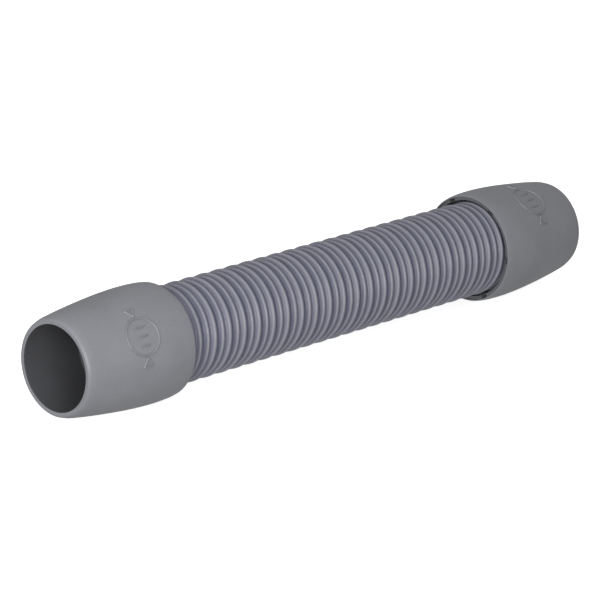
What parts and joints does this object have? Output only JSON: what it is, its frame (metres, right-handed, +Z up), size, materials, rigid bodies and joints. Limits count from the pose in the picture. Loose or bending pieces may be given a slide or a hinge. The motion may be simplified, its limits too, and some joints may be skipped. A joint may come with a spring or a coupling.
{
  "type": "flexible drain connector",
  "caption": "Short flexible drain connector: a ribbed plastic hose between two barrel-shaped pipe sockets that each take a smooth pipe end.",
  "frame": {"origin": "middle of the hose axis, half way between the two cuff mouths", "axes": "+X along the hose from cuff a to cuff b, +Z up, -Y the side that is seen"},
  "size_m": [0.274, 0.0438, 0.0438],
  "materials": {
    "cuff_plastic": "satin moulded mid grey",
    "hose_plastic": "satin extruded grey with a lilac cast",
    "inner_plastic": "satin moulded dark grey",
    "seal_rubber": "matt black"
  },
  "bodies": {
    "cuff_a": {"cuff_shell_a": "cuff_plastic", "seal_ring_a": "seal_rubber", "retainer_ring_a": "cuff_plastic"},
    "hose_end_a": {"hose_end_a": "hose_plastic", "tail_sleeve_a": "inner_plastic", "grip_collet_a": "inner_plastic"},
    "hose_01": {"hose_segment_01": "hose_plastic"},
    "hose_02": {"hose_segment_02": "hose_plastic"},
    "hose_03": {"hose_segment_03": "hose_plastic"},
    "hose_04": {"hose_segment_04": "hose_plastic"},
    "hose_05": {"hose_segment_05": "hose_plastic"},
    "hose_06": {"hose_segment_06": "hose_plastic"},
    "hose_07": {"hose_segment_07": "hose_plastic"},
    "hose_08": {"hose_segment_08": "hose_plastic"},
    "hose_09": {"hose_segment_09": "hose_plastic"},
    "hose_10": {"hose_segment_10": "hose_plastic"},
    "hose_11": {"hose_segment_11": "hose_plastic"},
    "hose_12": {"hose_segment_12": "hose_plastic"},
    "hose_13": {"hose_segment_13": "hose_plastic"},
    "hose_14": {"hose_segment_14": "hose_plastic"},
    "hose_15": {"hose_segment_15": "hose_plastic"},
    "hose_16": {"hose_segment_16": "hose_plastic"},
    "hose_17": {"hose_segment_17": "hose_plastic"},
    "hose_18": {"hose_segment_18": "hose_plastic"},
    "hose_19": {"hose_segment_19": "hose_plastic"},
    "hose_20": {"hose_segment_20": "hose_plastic"},
    "hose_21": {"hose_segment_21": "hose_plastic"},
    "hose_end_b": {"hose_end_b": "hose_plastic", "tail_sleeve_b": "inner_plastic", "grip_collet_b": "inner_plastic"},
    "cuff_b": {"cuff_shell_b": "cuff_plastic", "seal_ring_b": "seal_rubber", "retainer_ring_b": "cuff_plastic"}
  },
  "joints": [
    {"name": "swivel_a", "type": "hinge", "parent": "cuff_a", "child": "hose_end_a", "pos_m": [-0.0925, 0, 0], "axis": [1, 0, 0], "continuous": true},
    {"name": "sway_01", "type": "hinge", "parent": "hose_end_a", "child": "hose_01", "pos_m": [-0.08085, 0, 0], "axis": [0, -0.0087, 1], "range_deg": [-5.5, 5.5], "stiffness_Nm_per_rad": 2.4},
    {"name": "lift_01", "type": "hinge", "parent": "hose_01", "child": "hose_02", "pos_m": [-0.07315, 0, 0], "axis": [0, 1, 0.0087], "range_deg": [-5.5, 5.5], "stiffness_Nm_per_rad": 2.4},
    {"name": "sway_02", "type": "hinge", "parent": "hose_02", "child": "hose_03", "pos_m": [-0.06545, 0, 0], "axis": [0, -0.0087, 1], "range_deg": [-5.5, 5.5], "stiffness_Nm_per_rad": 2.4},
    {"name": "lift_02", "type": "hinge", "parent": "hose_03", "child": "hose_04", "pos_m": [-0.05775, 0, 0], "axis": [0, 1, 0.0087], "range_deg": [-5.5, 5.5], "stiffness_Nm_per_rad": 2.4},
    {"name": "sway_03", "type": "hinge", "parent": "hose_04", "child": "hose_05", "pos_m": [-0.05005, 0, 0], "axis": [0, -0.0087, 1], "range_deg": [-5.5, 5.5], "stiffness_Nm_per_rad": 2.4},
    {"name": "lift_03", "type": "hinge", "parent": "hose_05", "child": "hose_06", "pos_m": [-0.04235, 0, 0], "axis": [0, 1, 0.0087], "range_deg": [-5.5, 5.5], "stiffness_Nm_per_rad": 2.4},
    {"name": "sway_04", "type": "hinge", "parent": "hose_06", "child": "hose_07", "pos_m": [-0.03465, 0, 0], "axis": [0, -0.0087, 1], "range_deg": [-5.5, 5.5], "stiffness_Nm_per_rad": 2.4},
    {"name": "lift_04", "type": "hinge", "parent": "hose_07", "child": "hose_08", "pos_m": [-0.02695, 0, 0], "axis": [0, 1, 0.0087], "range_deg": [-5.5, 5.5], "stiffness_Nm_per_rad": 2.4},
    {"name": "sway_05", "type": "hinge", "parent": "hose_08", "child": "hose_09", "pos_m": [-0.01925, 0, 0], "axis": [0, -0.0087, 1], "range_deg": [-5.5, 5.5], "stiffness_Nm_per_rad": 2.4},
    {"name": "lift_05", "type": "hinge", "parent": "hose_09", "child": "hose_10", "pos_m": [-0.01155, 0, 0], "axis": [0, 1, 0.0087], "range_deg": [-5.5, 5.5], "stiffness_Nm_per_rad": 2.4},
    {"name": "sway_06", "type": "hinge", "parent": "hose_10", "child": "hose_11", "pos_m": [-0.00385, 0, 0], "axis": [0, -0.0087, 1], "range_deg": [-5.5, 5.5], "stiffness_Nm_per_rad": 2.4},
    {"name": "lift_06", "type": "hinge", "parent": "hose_11", "child": "hose_12", "pos_m": [0.00385, 0, 0], "axis": [0, 1, 0.0087], "range_deg": [-5.5, 5.5], "stiffness_Nm_per_rad": 2.4},
    {"name": "sway_07", "type": "hinge", "parent": "hose_12", "child": "hose_13", "pos_m": [0.01155, 0, 0], "axis": [0, -0.0087, 1], "range_deg": [-5.5, 5.5], "stiffness_Nm_per_rad": 2.4},
    {"name": "lift_07", "type": "hinge", "parent": "hose_13", "child": "hose_14", "pos_m": [0.01925, 0, 0], "axis": [0, 1, 0.0087], "range_deg": [-5.5, 5.5], "stiffness_Nm_per_rad": 2.4},
    {"name": "sway_08", "type": "hinge", "parent": "hose_14", "child": "hose_15", "pos_m": [0.02695, 0, 0], "axis": [0, -0.0087, 1], "range_deg": [-5.5, 5.5], "stiffness_Nm_per_rad": 2.4},
    {"name": "lift_08", "type": "hinge", "parent": "hose_15", "child": "hose_16", "pos_m": [0.03465, 0, 0], "axis": [0, 1, 0.0087], "range_deg": [-5.5, 5.5], "stiffness_Nm_per_rad": 2.4},
    {"name": "sway_09", "type": "hinge", "parent": "hose_16", "child": "hose_17", "pos_m": [0.04235, 0, 0], "axis": [0, -0.0087, 1], "range_deg": [-5.5, 5.5], "stiffness_Nm_per_rad": 2.4},
    {"name": "lift_09", "type": "hinge", "parent": "hose_17", "child": "hose_18", "pos_m": [0.05005, 0, 0], "axis": [0, 1, 0.0087], "range_deg": [-5.5, 5.5], "stiffness_Nm_per_rad": 2.4},
    {"name": "sway_10", "type": "hinge", "parent": "hose_18", "child": "hose_19", "pos_m": [0.05775, 0, 0], "axis": [0, -0.0087, 1], "range_deg": [-5.5, 5.5], "stiffness_Nm_per_rad": 2.4},
    {"name": "lift_10", "type": "hinge", "parent": "hose_19", "child": "hose_20", "pos_m": [0.06545, 0, 0], "axis": [0, 1, 0.0087], "range_deg": [-5.5, 5.5], "stiffness_Nm_per_rad": 2.4},
    {"name": "sway_11", "type": "hinge", "parent": "hose_20", "child": "hose_21", "pos_m": [0.07315, 0, 0], "axis": [0, -0.0087, 1], "range_deg": [-5.5, 5.5], "stiffness_Nm_per_rad": 2.4},
    {"name": "lift_11", "type": "hinge", "parent": "hose_21", "child": "hose_end_b", "pos_m": [0.08085, 0, 0], "axis": [0, 1, 0.0087], "range_deg": [-5.5, 5.5], "stiffness_Nm_per_rad": 2.4},
    {"name": "swivel_b", "type": "hinge", "parent": "hose_end_b", "child": "cuff_b", "pos_m": [0.0925, 0, 0], "axis": [1, 0, 0], "continuous": true}
  ],
  "couplings": [
    {"joint": "sway_02", "follows": "sway_01", "ratio": 1},
    {"joint": "sway_03", "follows": "sway_01", "ratio": 1},
    {"joint": "sway_04", "follows": "sway_01", "ratio": 1},
    {"joint": "sway_05", "follows": "sway_01", "ratio": 1},
    {"joint": "sway_06", "follows": "sway_01", "ratio": 1},
    {"joint": "sway_07", "follows": "sway_01", "ratio": 1},
    {"joint": "sway_08", "follows": "sway_01", "ratio": 1},
    {"joint": "sway_09", "follows": "sway_01", "ratio": 1},
    {"joint": "sway_10", "follows": "sway_01", "ratio": 1},
    {"joint": "sway_11", "follows": "sway_01", "ratio": 1},
    {"joint": "lift_02", "follows": "lift_01", "ratio": 1},
    {"joint": "lift_03", "follows": "lift_01", "ratio": 1},
    {"joint": "lift_04", "follows": "lift_01", "ratio": 1},
    {"joint": "lift_05", "follows": "lift_01", "ratio": 1},
    {"joint": "lift_06", "follows": "lift_01", "ratio": 1},
    {"joint": "lift_07", "follows": "lift_01", "ratio": 1},
    {"joint": "lift_08", "follows": "lift_01", "ratio": 1},
    {"joint": "lift_09", "follows": "lift_01", "ratio": 1},
    {"joint": "lift_10", "follows": "lift_01", "ratio": 1},
    {"joint": "lift_11", "follows": "lift_01", "ratio": 1}
  ]
}
